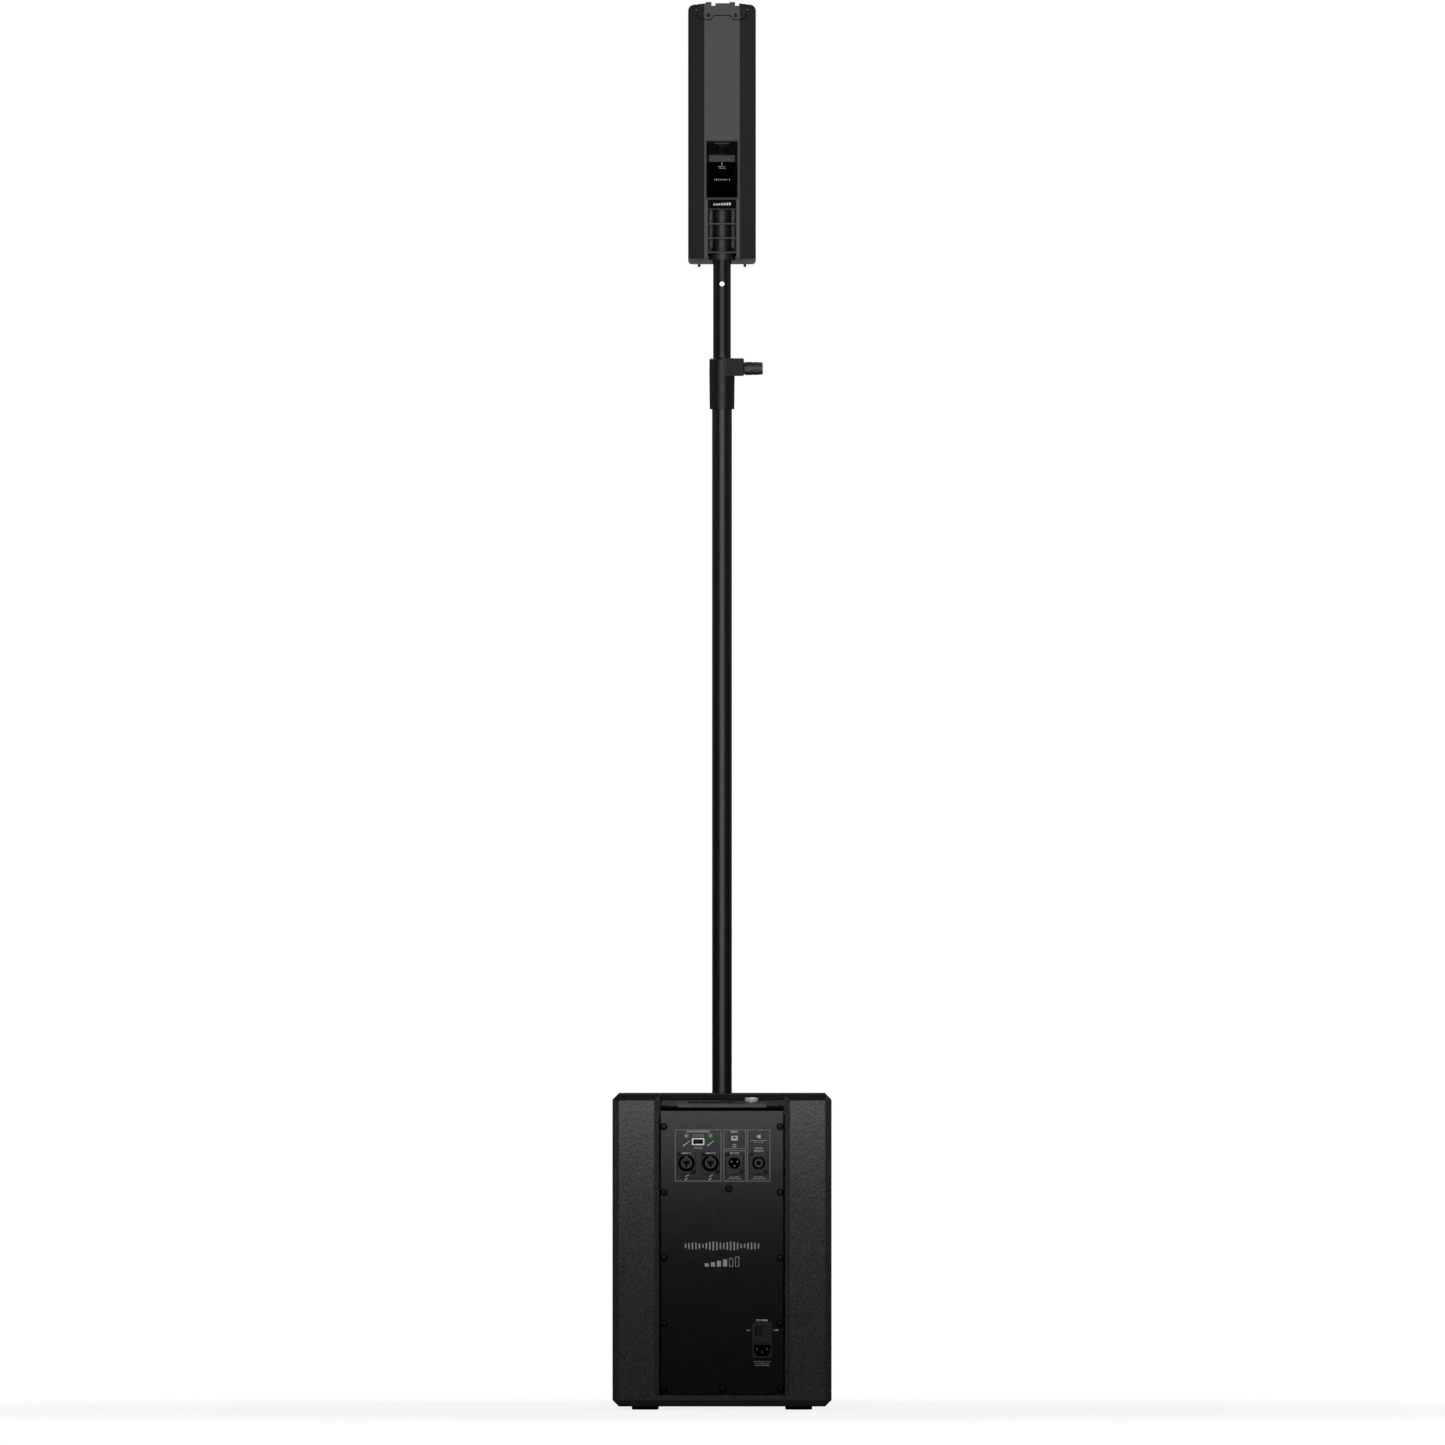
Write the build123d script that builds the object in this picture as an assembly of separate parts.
"""Portable column loudspeaker: a bass cabinet, a telescopic pole and a slim column speaker on top.

Millimetres. +Z is up, the grilles face -Y and the connector side faces +Y. The origin is on the
floor under the middle of the bass cabinet. Each function makes one sub-part.
"""
import math
import os

from build123d import *

# ---- driving sizes -------------------------------------------------------------------------
CAB_W, CAB_D = 309.0, 360.0          # bass cabinet, outside width and depth
FOOT_H, CAB_TOP = 4.6, 445.0         # the cabinet stands on feet and ends at CAB_TOP
WALL = 15.0                          # plywood thickness
EDGE = 9.0                           # chamfer round the cabinet's outer edges
BAFFLE_FRONT = -154.0                # front face of the woofer's board
RECESS_HALF, RECESS_FLOOR = 87.4, 162.0   # connector recess: half width, and the ledge behind the panel
RECESS_BOTTOM = 19.5
PANEL_T = 2.0
TUBE_R, TUBE_WALL = 14.0, 1.3        # lower pole tube
INNER_R, INNER_WALL = 12.5, 1.5      # upper pole tube
COLLAR_BOTTOM, COLLAR_TOP = 1411.5, 1483.7
KNOB_Z = 1469.1                      # axis of the clamp knob
COL_HALF = 47.85                     # column speaker, half width
COL_BASE, COL_FLOOR, COL_TOP = 1616.6, 1624.6, 1984.9
COL_REAR, COL_FRONT = 20.0, -70.0    # column faces, measured from the pole axis
COL_WALL = 3.0
SOCKET_TOP = 1694.0                  # top of the open pole channel in the column's back
SLEEVE_BOTTOM, SLEEVE_R = 1622.6, 13.5   # thin sleeve round the tube in the channel

# ---- places worked out from them -----------------------------------------------------------
CAB_HALF, BACK = CAB_W / 2, CAB_D / 2
PANEL_FACE = RECESS_FLOOR + PANEL_T
CAVITY_REAR = RECESS_FLOOR - WALL
CAVITY_HALF = CAB_HALF - WALL
CAVITY_BOTTOM, CAVITY_TOP = FOOT_H + WALL, CAB_TOP - WALL

DECK_FRONT, DECK_REAR, PLATE_FRONT, PLATE_REAR = 100.0, 152.0, 112.0, 165.0
DECK_HIGH, PLATE_LIP_LOW, PLATE_LIP_HIGH = 437.4, 426.2, 431.1
DECK_SLOPE = (DECK_HIGH - PLATE_LIP_LOW) / (PLATE_REAR - DECK_FRONT)
DECK_T = 3.5
PLATE_HALF = 63.0

CUP_FLOOR = 350.0
WOOFER_Z, PORT_Z = 140.0, 330.0
JACK_Z = 347.8
INPUT_XS = (50.1, 16.2)
MIX_X, OUT_X = -17.6, -51.8
USB_X, USB_Z = 33.6, 378.0
LIGHT_Z = 386.0
RESET_X, RESET_Z = -17.5, 372.3
INLET_X, INLET_Z = -56.5, 97.7
ROCKER_DZ, SOCKET_DZ = 14.3, -14.4   # rocker and mains socket, from the inlet's centre
ROCKER_TILT = 7.0
SCREW_X = 82.0
SCREW_ZS = [28.6 + 92.6 * i for i in range(5)]
PANEL_SCREWS = [(s * SCREW_X, z) for z in SCREW_ZS for s in (1, -1)] + [(-9.4, 311.4), (0.0, 28.6)]
FLANGE_SCREW = (9.5, 12.0)           # screw offsets on a connector flange
FOOT_X, FOOT_Y, FOOT_R = 108.2, 138.0, 19.0
DECK_SCREW_X, DECK_SCREW_Y = 80.5, 147.0
CUP_SCREW_R = 25.0

DRIVER_PITCH = 84.0
DRIVER_ZS = [(COL_FLOOR + COL_TOP) / 2 + DRIVER_PITCH * (i - 1.5) for i in range(4)]
COL_BAFFLE = -60.0                   # front face of the column's baffle
RIB_ZS = (1633.0, 1653.2, 1673.4)
CHANNEL_HALF = 20.1
POCKET_BOTTOM, POCKET_TOP, POCKET_HALF = 1708.2, 1791.2, 22.9
POCKET_DEEP = -12.0
CAP_SCREW_X, CAP_SCREW_Z = 19.1, 1967.9
COL_ROOF = 6.0                       # thickness of the column's top
STUD_XS, STUD_HALF, GROOVE_W, GROOVE_Z = (18.9, -14.5), 4.0, 5.5, 1981.3
STUD_LOW = GROOVE_Z - 0.3
CAP_GAP = 0.7                        # seam round the top cap
PIN_HOLE_Z, PIN_HOLE_R = 1588.6, 3.5
DOCK_X, DOCK_Y, DOCK_R, DOCK_PROUD = 32.3, -25.0, 1.95, 4.0


# ---- helpers -------------------------------------------------------------------------------
def block(x0, x1, y0, y1, z0, z1):
    """Box between two corners."""
    return Pos((x0 + x1) / 2, (y0 + y1) / 2, (z0 + z1) / 2) * Box(x1 - x0, y1 - y0, z1 - z0)


def rod_z(r, x, y, z0, z1):
    """Round bar along Z."""
    return Pos(x, y, (z0 + z1) / 2) * Cylinder(r, z1 - z0)


def rod_y(r, x, z, y0, y1):
    """Round bar along Y."""
    return Pos(x, (y0 + y1) / 2, z) * Rot(90, 0, 0) * Cylinder(r, y1 - y0)


def rod_x(r, y, z, x0, x1):
    """Round bar along X."""
    return Pos((x0 + x1) / 2, y, z) * Rot(0, 90, 0) * Cylinder(r, x1 - x0)


def prism_x(yz, half, x=0.0):
    """Outline given as (y, z) points, extruded along X, half to each side."""
    face = make_face(Polyline([(x - half, y, z) for y, z in yz], close=True))
    return extrude(face, 2 * half, dir=(1, 0, 0))


def prism_y(xz, y0, y1):
    """Outline given as (x, z) points, extruded along Y."""
    return extrude(make_face(Polyline([(x, y0, z) for x, z in xz], close=True)), y1 - y0, dir=(0, 1, 0))


def prism_z(xy, z0, z1):
    """Outline given as (x, y) points, extruded along Z."""
    return extrude(make_face(Polyline([(x, y, z0) for x, y in xy], close=True)), z1 - z0, dir=(0, 0, 1))


def mirrored(points):
    """A half outline with its mirror image in X, as one closed outline."""
    return points + [(-x, y) for x, y in reversed(points)]


def turned(profile):
    """Outline given as (radius, height) points, turned about +Y: height runs along Y."""
    face = make_face(Polyline([(r, 0, h) for r, h in profile], close=True))
    return Rot(-90, 0, 0) * revolve(face, Axis.Z, 360)


def group(shapes):
    """Separate solids of one node."""
    return Compound(children=[s for shape in shapes for s in shape.solids()])


def screw(head_r, head_h, shank_r, length):
    """Cross-head screw along +Y: the head's underside at the origin, the shank towards -Y."""
    head = rod_y(head_r, 0, 0, 0, head_h)
    head = chamfer(head.edges().filter_by(GeomType.CIRCLE).sort_by(Axis.Y)[-1], head_h * 0.4)
    slot = block(-head_r * 0.5, head_r * 0.5, head_h * 0.45, head_h + 1, -0.45, 0.45)
    return head - slot - Rot(0, 90, 0) * slot + rod_y(shank_r, 0, 0, -length, 0)


def deck_z(y):
    """Height of the control deck's sloping top."""
    return DECK_HIGH - DECK_SLOPE * (y - DECK_FRONT)


PLATE_TILT = math.degrees(math.atan2(deck_z(PLATE_FRONT) - PLATE_LIP_HIGH, PLATE_REAR - PLATE_FRONT))
ENCODER_X, ENCODER_Y = -41.6, 139.0
DISPLAY_X, DISPLAY_Y, DISPLAY_DEEP = (-16, 48), (-14, 17), 0.8      # y from the encoder
KNOB_SEAT = 5.1                      # end of the encoder's shaft, above the plate
PLATE_MID_Z = PLATE_LIP_HIGH + math.tan(math.radians(PLATE_TILT)) * (PLATE_REAR - ENCODER_Y)


def on_plate(x=0.0):
    """Place on the control plate's top at the encoder's depth, its normal as +Z."""
    return Pos(x, ENCODER_Y, PLATE_MID_Z) * Rot(-PLATE_TILT, 0, 0)


# ---- bass cabinet --------------------------------------------------------------------------
def cabinet():
    body = chamfer(block(-CAB_HALF, CAB_HALF, -BACK, BACK, FOOT_H, CAB_TOP).edges(), EDGE)
    body -= block(-CAVITY_HALF, CAVITY_HALF, -BACK - 1, CAVITY_REAR, CAVITY_BOTTOM, CAVITY_TOP)
    body -= block(-RECESS_HALF, RECESS_HALF, RECESS_FLOOR, BACK + 1, RECESS_BOTTOM, CAB_TOP + 1)
    bevel = 8.3
    for side in (1, -1):
        corner = [(RECESS_HALF - 0.1, BACK - bevel), (RECESS_HALF, BACK - bevel)]
        corner += [(RECESS_HALF + bevel, BACK), (RECESS_HALF + bevel, BACK + 1)]
        corner += [(RECESS_HALF - 0.1, BACK + 1)]
        body -= prism_z([(side * x, y) for x, y in corner], RECESS_BOTTOM, CAB_TOP + 1)
    body -= block(-74, 74, CAVITY_REAR - 1, RECESS_FLOOR + 1, 38, 412)
    slot_z = 415.0
    cut = [(DECK_FRONT - 0.2, CAB_TOP + 1), (DECK_FRONT - 0.2, deck_z(DECK_FRONT) - DECK_T)]
    cut += [(DECK_REAR, deck_z(DECK_REAR) - DECK_T), (DECK_REAR, slot_z), (RECESS_FLOOR + 1, slot_z)]
    cut += [(RECESS_FLOOR + 1, CAB_TOP + 1)]
    body -= prism_x(cut, RECESS_HALF)
    body -= rod_z(31.1, 0, 0, CAB_TOP - 3, CAB_TOP + 1) + rod_z(18.1, 0, 0, CAVITY_TOP - 1, CAB_TOP)
    for x, z in PANEL_SCREWS:
        body -= rod_y(1.85, x, z, RECESS_FLOOR - 13, RECESS_FLOOR + 1)
    for x, y in foot_places():
        body -= rod_z(1.85, x, y, FOOT_H - 1, FOOT_H + 13)
    for x, y in cup_screw_places():
        body -= rod_z(1.85, x, y, CAB_TOP - 14, CAB_TOP)
    for x in (DECK_SCREW_X, -DECK_SCREW_X):
        body -= rod_z(1.85, x, DECK_SCREW_Y, deck_z(DECK_SCREW_Y) - 15, CAB_TOP)
    return body


def foot_places():
    return [(sx * FOOT_X, sy * FOOT_Y) for sx in (1, -1) for sy in (1, -1)]


def cup_screw_places():
    step = CUP_SCREW_R * math.sqrt(0.5)
    return [(sx * step, sy * step) for sx in (1, -1) for sy in (1, -1)]


def rubber_feet():
    foot = rod_z(FOOT_R, 0, 0, 0, FOOT_H)
    foot = fillet(foot.edges().filter_by(GeomType.CIRCLE).sort_by(Axis.Z)[0], 1.4)
    foot -= rod_z(6.0, 0, 0, -1, 2.6) + rod_z(2.0, 0, 0, 0, FOOT_H + 1)
    return group([Pos(x, y, 0) * foot for x, y in foot_places()])


def cabinet_screws():
    """The screws that hold the feet, the pole cup, the control deck and the woofer."""
    one = screw(3.5, 1.9, 1.75, 12)
    feet = [Pos(x, y, 2.6) * Rot(-90, 0, 0) * one for x, y in foot_places()]
    cup = [Pos(x, y, CAB_TOP - 2) * Rot(90, 0, 0) * one for x, y in cup_screw_places()]
    seat = deck_z(DECK_SCREW_Y) - 1.6
    deck = [Pos(x, DECK_SCREW_Y, seat) * Rot(90, 0, 0) * one for x in (DECK_SCREW_X, -DECK_SCREW_X)]
    long = Rot(0, 0, 180) * screw(3.5, 1.9, 1.75, 16)
    woofer = [in_woofer(Pos(x, WOOFER_FLANGE, z) * long) for x, z in woofer_screw_places()]
    return group(feet + cup + deck + woofer)


def front_baffle():
    gap = 0.2
    board = block(-CAVITY_HALF + gap, CAVITY_HALF - gap, BAFFLE_FRONT, BAFFLE_FRONT + WALL,
                  CAVITY_BOTTOM + gap, CAVITY_TOP - gap)
    board -= rod_y(93, 0, WOOFER_Z, BAFFLE_FRONT - 1, BAFFLE_FRONT + WALL + 1)
    board -= rod_y(34.6, 0, PORT_Z, BAFFLE_FRONT - 1, BAFFLE_FRONT + WALL + 1)
    for x, z in woofer_screw_places():
        board -= rod_y(1.85, x, WOOFER_Z + z, BAFFLE_FRONT - 1, BAFFLE_FRONT + 12.5)
    return board


def round_place(radius, degrees):
    return radius * math.cos(math.radians(degrees)), radius * math.sin(math.radians(degrees))


def woofer_screw_places():
    return [round_place(99, 45 * i + 22.5) for i in range(8)]


def front_grille():
    """Perforated steel front, here as the plain tray that the holes are punched in."""
    gap, deep, t = 0.6, 7.0, 1.5
    front = -BACK + 1.5
    half, low, high = CAVITY_HALF - gap, CAVITY_BOTTOM + gap, CAVITY_TOP - gap
    tray = block(-half, half, front, front + deep, low, high)
    tray = fillet(tray.edges().filter_by(Axis.Y), 4)
    tray = chamfer(tray.faces().sort_by(Axis.Y)[0].edges(), 0.8)
    return tray - block(-half + t, half - t, front + t, front + deep + 1, low + t, high - t)


def grille_foam():
    front = -BACK + 3.1
    inset = 3.0
    return block(-CAVITY_HALF + inset, CAVITY_HALF - inset, front, front + 3.0,
                 CAVITY_BOTTOM + inset, CAVITY_TOP - inset)


def bass_port():
    """Flared reflex tube."""
    profile = [(32, 0), (34.5, 0), (34.5, 118), (32, 118)]
    lip = [(32, 0), (35.5, -3), (44, -3), (44, 0)]
    return Pos(0, BAFFLE_FRONT, PORT_Z) * (turned(profile) + turned(lip))


# ---- woofer: heights run back from the baffle's front face -----------------------------------
WOOFER_FLANGE = -4.0


def in_woofer(shape):
    return Pos(0, BAFFLE_FRONT, WOOFER_Z) * shape


def woofer_frame():
    basket = turned([(105, WOOFER_FLANGE), (105, 0), (92.5, 0), (62.5, 61), (30, 61), (30, 58.5),
                     (60.6, 58.5), (89.4, 0), (89.4, WOOFER_FLANGE)])
    for i in range(6):
        basket -= Rot(0, 60 * i, 0) * block(55, 110, 11, 34, -24, 24)
    for x, z in woofer_screw_places():
        basket -= rod_y(1.85, x, z, WOOFER_FLANGE - 1, 1)
    return in_woofer(basket)


def woofer_surround():
    """Half-roll rubber edge between the frame and the cone."""
    roll = Torus(83, 7) - Torus(83, 6)
    roll = Pos(0, 0, WOOFER_FLANGE - 0.5) * (roll & Pos(0, 0, -3.75) * Cylinder(120, 8.5))
    landing = Pos(0, 0, WOOFER_FLANGE - 0.5) * (Cylinder(94.5, 1) - Cylinder(89.2, 2))
    return in_woofer(Rot(-90, 0, 0) * (roll + landing))


def woofer_spider():
    """Corrugated disc that centres the coil, clear of it all round."""
    top = [(20.6, 40)] + [(24 + 4 * i, 40 + 1.5 * (i % 2)) for i in range(11)] + [(69.2, 40)]
    return in_woofer(turned(top + [(r, h + 1.0) for r, h in reversed(top)]))


def woofer_magnet():
    iron = [(21.3, 61), (52, 61), (52, 67), (50, 67), (50, 82), (52, 82), (52, 88), (0, 88),
            (0, 61), (18.8, 61), (18.8, 82), (26, 82), (26, 67), (21.3, 67)]
    return in_woofer(turned(iron))


def woofer_cone():
    return in_woofer(turned([(75.6, -5), (75.6, -3.8), (20, 26.8), (20, 25.6)]))


def dust_cap():
    dome = Pos(0, 0, 57) * (Sphere(45) - Sphere(44))
    return in_woofer(Rot(-90, 0, 0) * (dome & Pos(0, 0, 11) * Cylinder(26.5, 22)))


def voice_coil():
    return in_woofer(turned([(19.4, 24), (20, 24), (20, 54), (20.8, 54), (20.8, 66), (19.4, 66)]))


# ---- pole cup and control deck ---------------------------------------------------------------
def pole_cup():
    cup = rod_z(31, 0, 0, CAB_TOP - 3, CAB_TOP) + rod_z(18, 0, 0, CUP_FLOOR - 4, CAB_TOP)
    cup -= rod_z(TUBE_R + 0.25, 0, 0, CUP_FLOOR, CAB_TOP + 1)
    for x, y in cup_screw_places():
        cup -= rod_z(1.85, x, y, CAB_TOP - 5, CAB_TOP) + rod_z(3.7, x, y, CAB_TOP - 2, CAB_TOP + 1)
    return cup


def control_deck():
    """Sloping tray behind the top edge."""
    slope = [(DECK_FRONT, deck_z(DECK_FRONT)), (DECK_REAR, deck_z(DECK_REAR))]
    slope += [(y, z - DECK_T) for y, z in reversed(slope)]
    deck = prism_x(slope, RECESS_HALF - 0.2)
    deck -= on_plate(ENCODER_X) * block(-8, 8, -8, 8, -12, 1)
    for x in (DECK_SCREW_X, -DECK_SCREW_X):
        top = deck_z(DECK_SCREW_Y)
        deck -= rod_z(1.85, x, DECK_SCREW_Y, top - 6, top) + rod_z(3.8, x, DECK_SCREW_Y, top - 1.6, top + 3)
    return deck


def control_plate():
    """Wedge that carries the display and the encoder; its lip overhangs the deck."""
    wedge = prism_x([(PLATE_FRONT, deck_z(PLATE_FRONT)), (PLATE_REAR, PLATE_LIP_LOW),
                     (PLATE_REAR, PLATE_LIP_HIGH)], PLATE_HALF)
    wedge -= on_plate(ENCODER_X) * rod_z(3.6, 0, 0, -8, 2)
    wedge -= on_plate(ENCODER_X) * block(-7, 7, -7, 7, -12, -1.6)
    wedge -= on_plate() * block(*DISPLAY_X, *DISPLAY_Y, -DISPLAY_DEEP, 2)
    return wedge


def display_window():
    gap = 0.15
    x, y = DISPLAY_X, DISPLAY_Y
    return on_plate() * block(x[0] + gap, x[1] - gap, y[0] + gap, y[1] - gap, -DISPLAY_DEEP, 0.25)


def encoder_base():
    body = block(-6.2, 6.2, -6.2, 6.2, -9.5, -1.8) + rod_z(3.5, 0, 0, -2, 2.6)
    body += rod_z(5.4, 0, 0, 0.05, 1.6)
    body -= rod_z(3.08, 0, 0, -6, 3) + rod_z(4.2, 0, 0, -8.2, -5.2)
    return on_plate(ENCODER_X) * body


def encoder_plunger():
    return on_plate(ENCODER_X) * rod_z(3.6, 0, 0, -7.0, -6.1)


def encoder_shaft():
    return on_plate(ENCODER_X) * rod_z(3.0, 0, 0, -6.1, KNOB_SEAT)


def encoder_knob():
    """Bright turning knob with a grip groove and a dished top."""
    knob = rod_z(9.3, 0, 0, 0.8, 6.4)
    knob = fillet(knob.edges().filter_by(GeomType.CIRCLE).sort_by(Axis.Z)[-1], 0.9)
    knob -= rod_z(7.8, 0, 0, 0, 3.4) + rod_z(3.0, 0, 0, 0, KNOB_SEAT)
    knob -= rod_z(6.4, 0, 0, 6.0, 7)
    return on_plate(ENCODER_X) * knob


# ---- amplifier panel -------------------------------------------------------------------------
def d_places():
    return [(x, JACK_Z) for x in (*INPUT_XS, MIX_X, OUT_X)]


def flange_screw_places(x, z):
    dx, dz = FLANGE_SCREW
    return [(x + dx, z + dz), (x - dx, z - dz)]


def amplifier_panel():
    panel = block(-RECESS_HALF + 0.4, RECESS_HALF - 0.4, RECESS_FLOOR, PANEL_FACE, 21.5, 421.2)
    holes = [(x, z, 12.1) for x, z in d_places()] + [(x, z, 1.85) for x, z in PANEL_SCREWS]
    holes += [(x, LIGHT_Z, 2.6) for x in INPUT_XS] + [(RESET_X, RESET_Z, 1.8)]
    holes += [(sx, sz, 1.35) for x, z in d_places() for sx, sz in flange_screw_places(x, z)]
    for x, z, r in holes:
        panel -= rod_y(r, x, z, RECESS_FLOOR - 1, PANEL_FACE + 1)
    panel -= block(USB_X - 7.6, USB_X + 7.6, RECESS_FLOOR - 1, PANEL_FACE + 1, USB_Z - 3.9, USB_Z + 3.9)
    panel -= block(INLET_X - 12.6, INLET_X + 12.6, RECESS_FLOOR - 1, PANEL_FACE + 1,
                   INLET_Z - 23.6, INLET_Z + 23.6)
    return panel


def panel_screws():
    """Panel screws, and the small ones in the connector flanges."""
    large = screw(3.8, 2.0, 1.75, 12)
    small = screw(2.5, 0.85, 1.25, 6)
    flange = [place for x, z in d_places() for place in flange_screw_places(x, z)]
    return group([Pos(x, PANEL_FACE, z) * large for x, z in PANEL_SCREWS]
                 + [Pos(x, PANEL_FACE + FLANGE_SEAT, z) * small for x, z in flange])


def amplifier_heatsink():
    """Finned block that the power stage is bolted to."""
    front, back = 128.0, RECESS_FLOOR
    sink = block(-66, 66, back - 6, back, 150, 322)
    for i in range(15):
        x = -63 + 9 * i
        sink += block(x - 1.2, x + 1.2, front, back - 6, 150, 322)
    for x, z in PANEL_SCREWS:
        sink -= rod_y(1.85, x, z, back - 13, back + 1)
    return sink


def amplifier_board():
    """Circuit board with its transformer, capacitors and posts."""
    board = block(-34, 66, 140, 141.6, 48, 144)
    board += block(-20, 20, 106, 140, 60, 96)
    for x, z in ((34, 66), (34, 92), (56, 66), (56, 92)):
        board += rod_y(8, x, z, 108, 140)
    for x, z in ((-30, 52), (-30, 140), (62, 52), (62, 140)):
        board += rod_y(3, x, z, 141.6, RECESS_FLOOR)
    return board


# ---- connectors: outward is +Y from a mounting face at y = 0 ---------------------------------
FLANGE_SEAT = 1.3                    # depth to which the flange screws' heads sink, from the face


def d_flange(body_r, deep):
    plate = fillet(block(-13, 13, 0, 2.2, -15.5, 15.5).edges().filter_by(Axis.Y), 3)
    plate = chamfer(plate.faces().sort_by(Axis.Y)[-1].edges(), 0.6)
    dx, dz = FLANGE_SCREW
    for x, z in ((dx, dz), (-dx, -dz)):
        plate -= rod_y(1.35, x, z, -1, 3) + rod_y(2.7, x, z, FLANGE_SEAT, 3)
    return plate + rod_y(body_r, 0, 0, -deep, 0)


def combo_jack():
    """Combined three-pin and 6.3 mm jack socket."""
    body = d_flange(12.0, 20) + rod_y(12.0, 0, 0, 0, 3.2)
    body -= rod_y(10.6, 0, 0, -6, 4)
    island = rod_y(7.9, 0, 0, -7, 1.6) - rod_y(5.8, 0, 0, -0.8, 2) - rod_y(3.3, 0, 0, -8, 2)
    for degrees in (25, 155, 270):
        x, z = round_place(4.4, degrees)
        island -= rod_y(1.3, x, z, -5, 2)
    body -= rod_y(3.3, 0, 0, -15, 0)
    return body + island - block(-2.4, 2.4, -6, 2, 7.0, 8.2)


def input_jacks():
    return group([Pos(x, PANEL_FACE, JACK_Z) * combo_jack() for x in INPUT_XS])


def latch(x):
    """Tab that frees a plug."""
    tab = prism_y([(-3.0, 9.9), (3.0, 9.9), (1.6, 7.4), (-1.6, 7.4)], -4.6, 2.4)
    return Pos(x, PANEL_FACE, JACK_Z) * tab


def input_latch_a():
    return latch(INPUT_XS[0])


def input_latch_b():
    return latch(INPUT_XS[1])


MIX_PINS = ((-4.1, 1.9), (4.1, 1.9), (0, -3.9))
MIX_BORE, MIX_DEEP = 8.4, 12.0


def mix_output():
    body = d_flange(12.0, 18) + rod_y(11.0, 0, 0, 0, 3.0)
    body -= rod_y(MIX_BORE, 0, 0, 3.2 - MIX_DEEP - 1, 4)
    body += block(-2.4, 2.4, -9, 2.6, 7.3, 8.6)
    for x, z in MIX_PINS:
        body -= rod_y(1.2, x, z, -14, 0)
    return Pos(MIX_X, PANEL_FACE, JACK_Z) * body


def speaker_socket():
    """Round locking speaker socket with a centre post."""
    body = d_flange(12.0, 20) + rod_y(11.6, 0, 0, 0, 3.2)
    body -= rod_y(9.4, 0, 0, -10, 4)
    post = rod_y(6.2, 0, 0, -11, 2.0) - rod_y(3.1, 0, 0, -1.4, 3)
    keys = [block(-1.6, 1.6, -10.5, 2.4, 8.4, 9.8), block(-1.6, 1.6, -10.5, 2.4, -9.8, -8.4)]
    return body + post + keys[0] + keys[1]


def column_output():
    return Pos(OUT_X, PANEL_FACE, JACK_Z) * speaker_socket()


def usb_port():
    """Socket with a pale surround."""
    rim = fillet(block(-8.9, 8.9, 0, 0.9, -5.0, 5.0).edges().filter_by(Axis.Y), 1.6)
    shell = block(-7.5, 7.5, -13, 0, -3.8, 3.8)
    return Pos(USB_X, PANEL_FACE, USB_Z) * (rim + shell - block(-6.9, 6.9, -12, 2, -3.2, 3.2))


def status_lights():
    lens = rod_y(2.5, 0, 0, -4, 0.3) + (Pos(0, 0.3, 0) * Sphere(2.5) & block(-3, 3, 0.3, 1.9, -3, 3))
    return group([Pos(x, PANEL_FACE, LIGHT_Z) * lens for x in INPUT_XS])


def reset_button():
    return Pos(RESET_X, PANEL_FACE, RESET_Z) * (rod_y(1.6, 0, 0, -6, 0.35) + rod_y(2.6, 0, 0, -6, -3.6))


# ---- mains inlet -----------------------------------------------------------------------------
INLET_FACE = 2.6
EARTH_PIN, LINE_PINS = (0, -2.1), ((-7.2, 2.1), (7.2, 2.1))
DRAWER_HALF, DRAWER_TALL = 11.0, 4.4


def socket_outline(half_w, half_h, cut):
    """Mains socket mouth: a rectangle with its two lower corners cut off."""
    return [(-half_w, half_h), (half_w, half_h), (half_w, cut - half_h), (half_w - cut, -half_h),
            (cut - half_w, -half_h), (-half_w, cut - half_h)]


def power_inlet():
    plate = fillet(block(-14, 14, 0, INLET_FACE, -25, 25).edges().filter_by(Axis.Y), 1.5)
    body = plate + block(-12.4, 12.4, -24, 0, -23.4, 23.4)
    mouth = prism_y(socket_outline(12.0, 8.1, 5.0), -14, 3)
    body -= Pos(0, 0, SOCKET_DZ) * mouth
    body -= block(-9.9, 9.9, -12, 3, ROCKER_DZ - 6.7, ROCKER_DZ + 6.7)
    body -= block(-DRAWER_HALF - 0.25, DRAWER_HALF + 0.25, -19, 3, -DRAWER_TALL - 0.25, DRAWER_TALL + 0.25)
    for x, z in (EARTH_PIN, *LINE_PINS):
        body -= block(x - 1.0, x + 1.0, -25, 0, SOCKET_DZ + z - 2.0, SOCKET_DZ + z + 2.0)
    return Pos(INLET_X, PANEL_FACE, INLET_Z) * body


def contact_pins():
    """Metal contacts of the mains inlet and the mix output."""
    blade = block(-1.0, 1.0, -24, -3.5, -2.0, 2.0)
    mains = [Pos(INLET_X + x, PANEL_FACE, INLET_Z + SOCKET_DZ + z) * blade
             for x, z in (EARTH_PIN, *LINE_PINS)]
    pin = rod_y(1.2, 0, 0, -14, -2.4)
    mix = [Pos(MIX_X + x, PANEL_FACE, JACK_Z + z) * pin for x, z in MIX_PINS]
    return group(mains + mix)


def power_rocker():
    """Rocker on a vertical pivot, shown pressed to one side."""
    outline = [(-9.0, 3.4), (0, 1.9), (9.0, 3.4), (9.0, -3.5), (3, -6.5), (-3, -6.5), (-9.0, -3.5)]
    rocker = prism_z(outline, -6.4, 6.4)
    pivot = Pos(INLET_X, PANEL_FACE, INLET_Z + ROCKER_DZ)
    return pivot * Rot(0, 0, ROCKER_TILT) * rocker


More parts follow.
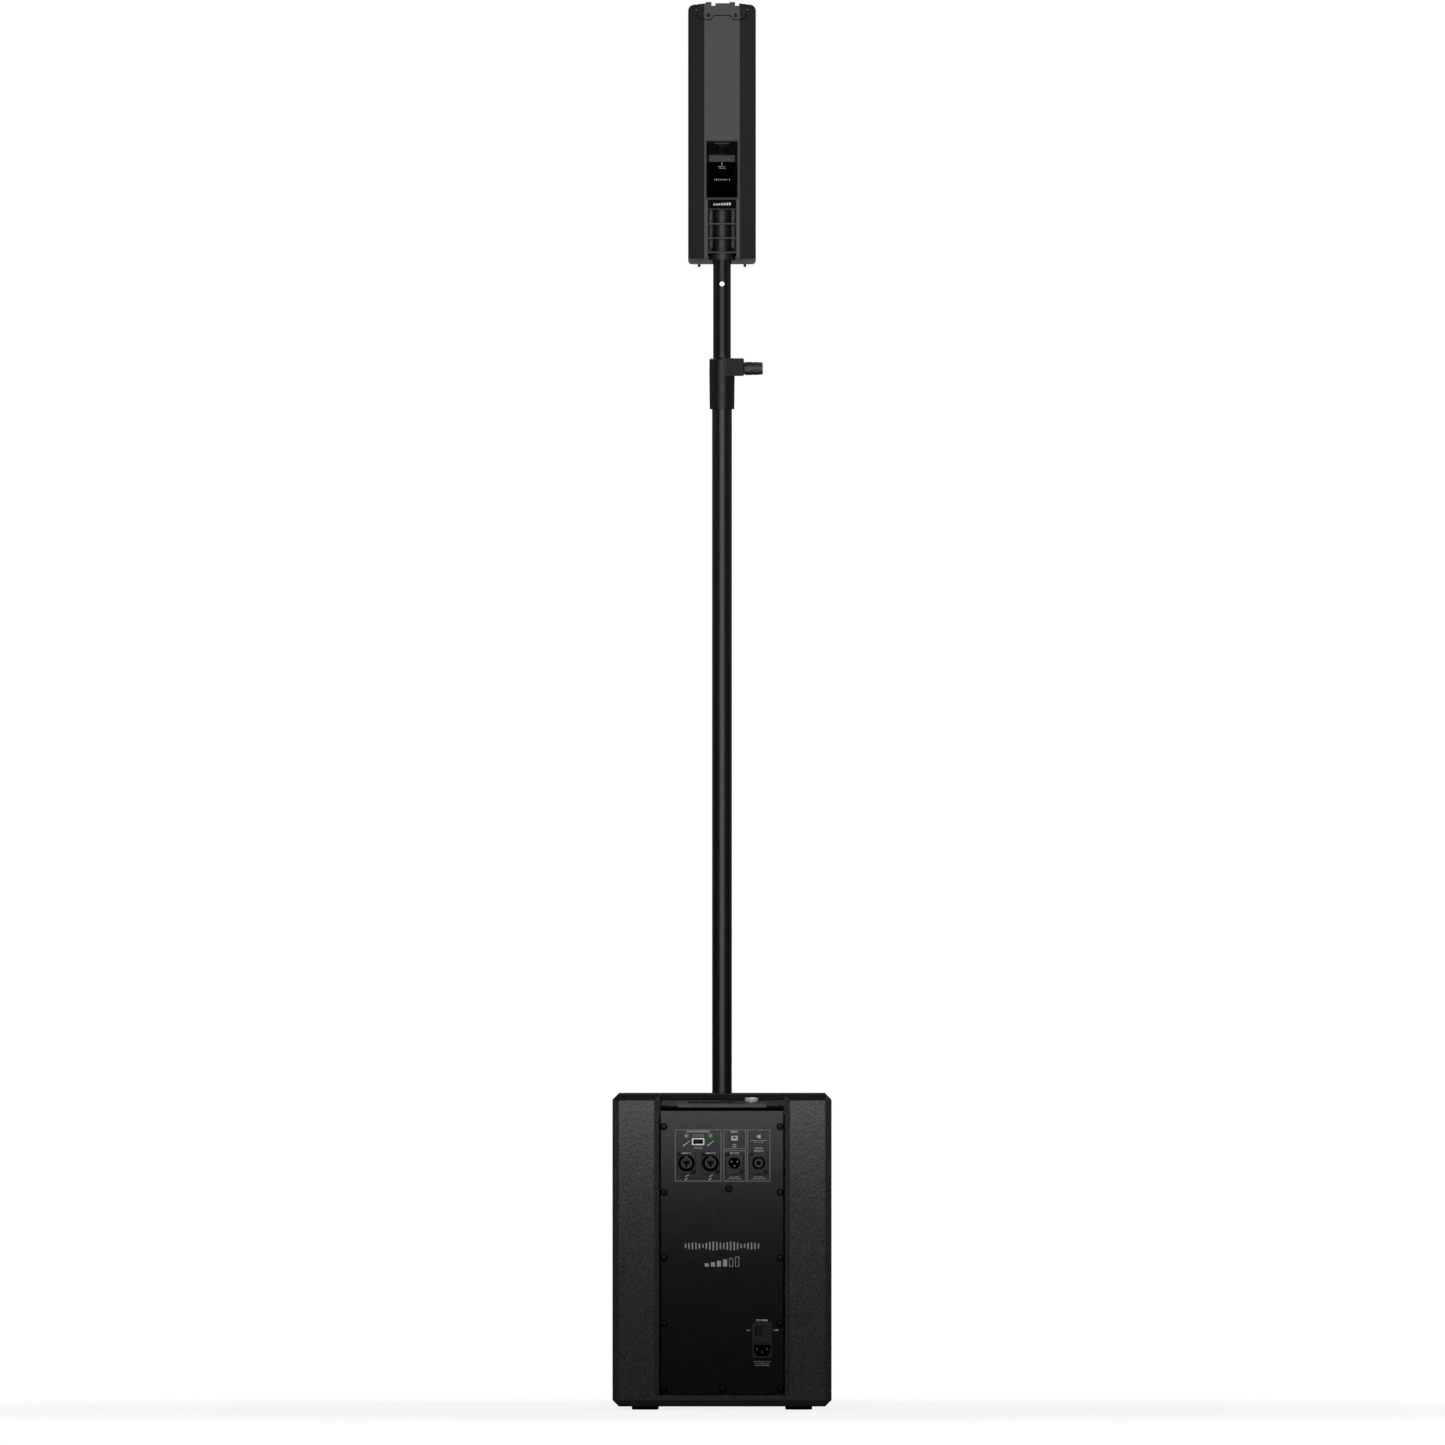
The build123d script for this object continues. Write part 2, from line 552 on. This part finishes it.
def fuse_drawer():
    drawer = block(-DRAWER_HALF, DRAWER_HALF, -18.5, INLET_FACE + 0.9, -DRAWER_TALL, DRAWER_TALL)
    drawer -= block(-4.5, 4.5, INLET_FACE + 0.1, INLET_FACE + 2, -DRAWER_TALL - 1, -DRAWER_TALL + 1.6)
    drawer -= block(-9, 9, -16, -1, -2.8, 2.8)
    return Pos(INLET_X, PANEL_FACE, INLET_Z) * drawer


# ---- pole ------------------------------------------------------------------------------------
TUBE_TOP, INNER_BOTTOM, INNER_TOP = 1456.0, 1060.0, 1690.0
STUD_R, STUD_HOLE_R = 3.0, 3.08
EAR_LOW, EAR_HIGH, EAR_OUT, EAR_DEEP = 1458.5, 1483.5, 31.0, 17.2


def lower_tube():
    tube = rod_z(TUBE_R, 0, 0, CUP_FLOOR + 0.05, TUBE_TOP)
    return tube - rod_z(TUBE_R - TUBE_WALL, 0, 0, CUP_FLOOR, TUBE_TOP + 1)


def clamp_collar():
    """Moulded collar with a boss for the clamp knob."""
    rings = ((COLLAR_BOTTOM, 17.4), (1465.0, 18.0), (1481.7, 17.8), (COLLAR_TOP, 15.9))
    outline = [(0, COLLAR_BOTTOM)] + [(r, z) for z, r in rings] + [(0, COLLAR_TOP)]
    body = revolve(make_face(Polyline([(r, 0, z) for r, z in outline], close=True)), Axis.Z, 360)
    ear = block(-EAR_OUT, 0, -EAR_DEEP, EAR_DEEP, EAR_LOW, EAR_HIGH)
    ear = chamfer(ear.faces().sort_by(Axis.X)[0].edges(), 1.4)
    body += ear
    body -= rod_z(TUBE_R, 0, 0, COLLAR_BOTTOM - 1, TUBE_TOP)
    body -= rod_z(15.2, 0, 0, TUBE_TOP - 0.1, COLLAR_TOP - 1.7)
    body -= rod_z(13.2, 0, 0, COLLAR_TOP - 2, COLLAR_TOP + 1)
    return body - rod_x(STUD_HOLE_R, 0, KNOB_Z, -EAR_OUT - 1, -10)


def collar_bush():
    """Nylon sleeve that guides the upper tube."""
    bush = rod_z(15.2, 0, 0, TUBE_TOP, COLLAR_TOP - 1.7)
    bush -= rod_z(INNER_R + 0.15, 0, 0, TUBE_TOP - 1, COLLAR_TOP)
    return bush - rod_x(STUD_HOLE_R, 0, KNOB_Z, -20, -10)


def clamp_stud():
    return rod_x(STUD_R, 0, KNOB_Z, -50, -INNER_R - 0.2)


def clamp_knob():
    """Fluted grip on a plain hub."""
    near, far, step = -EAR_OUT - 0.5, -57.6, -43.3
    hub = rod_x(8.7, 0, KNOB_Z, step - 0.2, near)
    centred = (Align.CENTER, Align.CENTER, Align.MIN)
    grip = Pos(far, 0, KNOB_Z) * Rot(0, 90, 0) * Cone(8.7, 9.4, step - far, align=centred)
    grip = chamfer(grip.edges().filter_by(GeomType.CIRCLE).sort_by(Axis.X)[0], 1.0)
    for i in range(8):
        y, z = round_place(10.6, 45 * i + 22.5)
        grip -= rod_x(2.0, y, KNOB_Z + z, far - 1, step - 2)
    return hub + grip - rod_x(STUD_R, 0, KNOB_Z, -50, near + 1)


def upper_tube():
    tube = rod_z(INNER_R, 0, 0, INNER_BOTTOM, INNER_TOP)
    tube -= rod_z(INNER_R - INNER_WALL, 0, 0, INNER_BOTTOM - 1, INNER_TOP + 1)
    return tube - rod_y(PIN_HOLE_R, 0, PIN_HOLE_Z, -20, 20)


def swivel_plug():
    """Nylon plug, free to turn in the tube's end, that the column rests on."""
    stem = rod_z(INNER_R - INNER_WALL - 0.08, 0, 0, 1664, INNER_TOP + 0.2)
    return stem + rod_z(12.4, 0, 0, INNER_TOP + 0.1, 1692.6)


# ---- column speaker --------------------------------------------------------------------------
def column_plan(inset):
    """Half plan of the column's shell: flat back, slanted flanks, straight sides."""
    flat = 25.1 - 0.42 * inset
    flank = 44.9 - 0.9 * inset
    back, front = COL_REAR - inset, COL_FRONT
    return [(flat, back), (flank, 0.2 - 0.4 * inset), (COL_HALF - inset, -7.0), (COL_HALF - inset, front)]


def column_body(inset, roof):
    """The shell's outline, moved in by the given wall and roof; its top is slightly crowned."""
    plan = prism_z(mirrored(column_plan(inset)), COL_FLOOR + inset, COL_TOP + 5)
    top = COL_TOP - roof
    half, bend = COL_HALF - inset, 8.5
    side = [(half, COL_FLOOR - 5), (half, top - bend - 1.9)]
    side += [(half - bend + bend * math.cos(a), top - bend - 1.9 + bend * math.sin(a))
             for a in (math.radians(15 * k) for k in range(1, 6))]
    side += [(half - bend, top - 1.9), (22.0, top)]
    return plan & prism_y(mirrored(side), -100, 60)


def column_shell():
    shell = column_body(0, 0) - column_body(COL_WALL, COL_ROOF)
    shell -= block(-COL_HALF + COL_WALL, COL_HALF - COL_WALL, COL_FRONT - 1, COL_BAFFLE,
                   COL_FLOOR + COL_WALL, COL_TOP - COL_ROOF - 2.2)
    for x in STUD_XS:
        edge = x - STUD_HALF
        shell -= block(edge - GROOVE_W, edge, COL_FRONT - 1, COL_REAR + 1, GROOVE_Z, COL_TOP + 1)
    return shell


def cap_region(gap):
    """Part of the shell that lifts off as the top cap: a tongue round the back of the top."""
    half, low, middle = 36.6 - gap, 1961.2 + gap, 1967.2 + gap
    outline = [(half, 2000), (half, low + 13), (half - 1.2, low + 7.5), (half - 4.3, low + 2.4)]
    outline += [(half - 9.6, low), (16.0 + 0.46 * gap, low), (11.3 + 0.46 * gap, middle)]
    return prism_y(mirrored(outline), COL_BAFFLE + 6 + gap, 60)


def column_housing():
    body = column_shell() - cap_region(0)
    body -= block(-CHANNEL_HALF, CHANNEL_HALF, 0, 40, COL_FLOOR - 1, SOCKET_TOP)
    body -= rod_z(18.6, 0, 0, COL_FLOOR - 1, COL_FLOOR + 10)
    body -= block(-CHANNEL_HALF, CHANNEL_HALF, 18.0, 21, SOCKET_TOP + 0.6, 1707.6)
    body -= block(-POCKET_HALF, POCKET_HALF, 10, 40, POCKET_BOTTOM, POCKET_TOP)
    return body


def column_top_cap():
    cap = column_shell() & cap_region(CAP_GAP)
    for x in (CAP_SCREW_X, -CAP_SCREW_X):
        cap -= rod_y(1.3, x, CAP_SCREW_Z, 10, 30) + rod_y(2.6, x, CAP_SCREW_Z, COL_REAR - 1.2, 30)
    for x in STUD_XS:
        cap -= block(x - STUD_HALF, x + STUD_HALF, -6, 2, STUD_LOW, COL_TOP + 5)
    return cap


def stacking_studs():
    """Metal-tipped studs on the top."""
    stud = block(-STUD_HALF, STUD_HALF, -6, 2, STUD_LOW, COL_TOP + 3)
    stud = fillet(stud.edges().filter_by(Axis.Z), 1.5)
    return group([Pos(x, 0, 0) * stud for x in STUD_XS])


def column_screws():
    """The screws of the top cap and of the cable socket."""
    one = screw(2.4, 1.0, 1.2, 6)
    cap = [Pos(x, COL_REAR - 1.2, CAP_SCREW_Z) * one for x in (CAP_SCREW_X, -CAP_SCREW_X)]
    one = screw(2.5, 0.85, 1.25, 6)
    socket = [in_pocket(Pos(x, FLANGE_SEAT, z) * one) for x, z in flange_screw_places(0, 0)]
    return group(cap + socket)


def column_base():
    """Foot plate under the shell, open at the back for the pole."""
    half = COL_HALF
    base = block(-half, half, COL_FRONT, 0.0, COL_BASE, COL_FLOOR - 0.1)
    base = fillet(base.edges().filter_by(Axis.Y).group_by(Axis.Z)[0], 5.5)
    base -= rod_z(13.1, 0, 0, COL_BASE - 1, COL_FLOOR)
    base -= rod_z(18.6, 0, 0, SLEEVE_BOTTOM - 0.3, COL_FLOOR)
    for x in (DOCK_X, -DOCK_X):
        base -= rod_z(2 * DOCK_R, x, DOCK_Y, COL_BASE, COL_BASE + 5)
    return base


def dock_pins():
    pin = rod_z(DOCK_R, 0, DOCK_Y, COL_BASE - DOCK_PROUD, COL_BASE)
    pin = chamfer(pin.edges().filter_by(GeomType.CIRCLE).sort_by(Axis.Z)[0], 0.4)
    pin += rod_z(2 * DOCK_R, 0, DOCK_Y, COL_BASE, COL_BASE + 5)
    return group([Pos(x, 0, 0) * pin for x in (DOCK_X, -DOCK_X)])


def pole_socket():
    """Ribbed channel that the pole stands in, open to the back between its ribs."""
    half = CHANNEL_HALF - 0.2
    low, high = 1631.9, SOCKET_TOP + 3.5
    body = block(-half, half, -17, 17.0, low, high)
    body += block(-half, half, 16.9, COL_REAR, low, SOCKET_TOP - 0.2)
    edges = [low + 2.1] + [z for rib in RIB_ZS[1:] for z in (rib - 1.0, rib + 1.0)] + [SOCKET_TOP - 0.6]
    for z0, z1 in zip(edges[::2], edges[1::2]):
        body -= block(-18, 18, 2, 30, z0, z1)
        for side in (19.5, -19.5):
            body -= block(side - 1.5, side + 1.5, -13, 30, z0, z1)
    body -= block(-half - 1, half + 1, -13, 30, edges[0], edges[0] + 5.8)
    body += rod_z(18.4, 0, 0, SLEEVE_BOTTOM, low + 0.1) + rod_z(SLEEVE_R, 0, 0, low, SOCKET_TOP - 1)
    return body - rod_z(INNER_R + 0.25, 0, 0, 1600, 1692.7)


def label_plate():
    plate = block(-19.9, 19.9, 18.1, 19.7, SOCKET_TOP + 0.8, 1707.4)
    return fillet(plate.edges().filter_by(Axis.Y).group_by(Axis.Z)[-1], 1.5)


ROOF_OUT, ROOF_IN = (COL_REAR + 0.2, 1790.0), (POCKET_DEEP, 1770.7)   # (y, z) ends of its slanted roof
SLANT = math.degrees(math.atan2(ROOF_OUT[1] - ROOF_IN[1], ROOF_OUT[0] - ROOF_IN[0]))


def cable_pocket():
    """Moulded tray: the connector sits in its slanted roof."""
    wide = POCKET_HALF - 0.15
    low, high, rim = POCKET_BOTTOM + 0.2, POCKET_TOP - 0.2, COL_REAR - 0.1
    outer = prism_x([(rim, high), (14, high), (-14.5, 1774.0), (-14.5, 1758.5), (12, low), (rim, low)],
                    wide)
    hollow = prism_x([ROOF_OUT, ROOF_IN, (POCKET_DEEP, 1761.3), (COL_REAR + 0.2, 1709.6)], wide + 1)
    hollow &= prism_z(mirrored([(21.9, COL_REAR + 0.3), (18.0, POCKET_DEEP - 0.1)]), 1700, 1800)
    tray = outer - hollow
    hole = rod_y(12.1, 0, 0, -12, 5)
    dx, dz = FLANGE_SCREW
    hole += rod_y(1.35, dx, dz, -8, 1) + rod_y(1.35, -dx, -dz, -8, 1)
    return tray - in_pocket(hole)


def in_pocket(shape):
    """Puts a connector on the slanted roof, facing back and down."""
    y, z = [(out + deep) / 2 for out, deep in zip(ROOF_OUT, ROOF_IN)]
    return Pos(0, y, z) * Rot(SLANT - 90, 0, 0) * Pos(0, 0.02, 0) * shape


def column_input():
    return in_pocket(speaker_socket())


def column_baffle():
    half = COL_HALF - COL_WALL - 0.2
    low, high = COL_FLOOR + COL_WALL + 0.2, COL_TOP - COL_ROOF - 9
    board = block(-half, half, COL_BAFFLE, COL_BAFFLE + 4, low, high)
    for z in DRIVER_ZS:
        board -= rod_y(30.2, 0, z, COL_BAFFLE - 1, COL_BAFFLE + 5)
    return board


def column_grille():
    """Perforated steel front of the column, here as a plain plate with turned-in edges."""
    half, front, t = COL_HALF - COL_WALL - 0.3, COL_FRONT + 0.8, 1.2
    low, high = COL_FLOOR + COL_WALL + 0.3, COL_TOP - COL_ROOF - 2.5
    tray = fillet(block(-half, half, front, front + 5, low, high).edges().filter_by(Axis.Y), 3)
    return tray - block(-half + t, half - t, front + t, front + 6, low + t, high - t)


def in_drivers(shape):
    return group([Pos(0, COL_BAFFLE, z) * shape for z in DRIVER_ZS])


def driver_frames():
    frame = turned([(34, -2), (34, 0), (30, 0), (20, 20), (20, 22), (10, 22), (10, 20.6), (18.6, 20.6),
                    (28.6, 0), (28.6, -2)])
    for i in range(4):
        frame -= Rot(0, 90 * i + 45, 0) * block(18, 36, 4, 15, -9, 9)
    return in_drivers(frame)


def driver_cones():
    """Cone, dome and coil former of each small driver, in one moving piece."""
    cone = turned([(28.2, -1.6), (28.2, -0.9), (9, 10.2), (9, 24.5), (8.3, 24.5), (8.3, 6.0), (0, 4.0),
                   (0, 3.2), (9.2, 5.4), (9.8, 9.0)])
    return in_drivers(cone)


def driver_magnets():
    magnet = turned([(9.7, 22), (19, 22), (19, 34), (0, 34), (0, 22), (7.7, 22), (7.7, 30), (9.7, 30)])
    return in_drivers(magnet)


PARTS = [
    cabinet, front_baffle, front_grille, grille_foam, bass_port, woofer_frame, woofer_surround,
    woofer_spider, woofer_magnet, woofer_cone, dust_cap, voice_coil, rubber_feet, cabinet_screws,
    pole_cup, control_deck, control_plate, display_window, encoder_base, encoder_plunger,
    encoder_shaft, encoder_knob, amplifier_panel, panel_screws, amplifier_heatsink,
    amplifier_board, input_jacks, input_latch_a, input_latch_b, mix_output, column_output,
    contact_pins, usb_port, status_lights, reset_button, power_inlet, power_rocker, fuse_drawer,
    lower_tube, clamp_collar, collar_bush, clamp_stud, clamp_knob, upper_tube, swivel_plug,
    column_housing, column_top_cap, stacking_studs, column_screws, column_base, dock_pins,
    pole_socket, label_plate, cable_pocket, column_input, column_baffle, column_grille,
    driver_frames, driver_cones, driver_magnets,
]

os.makedirs("parts", exist_ok=True)
for make in PARTS:
    export_step(make(), f"parts/{make.__name__}.step")
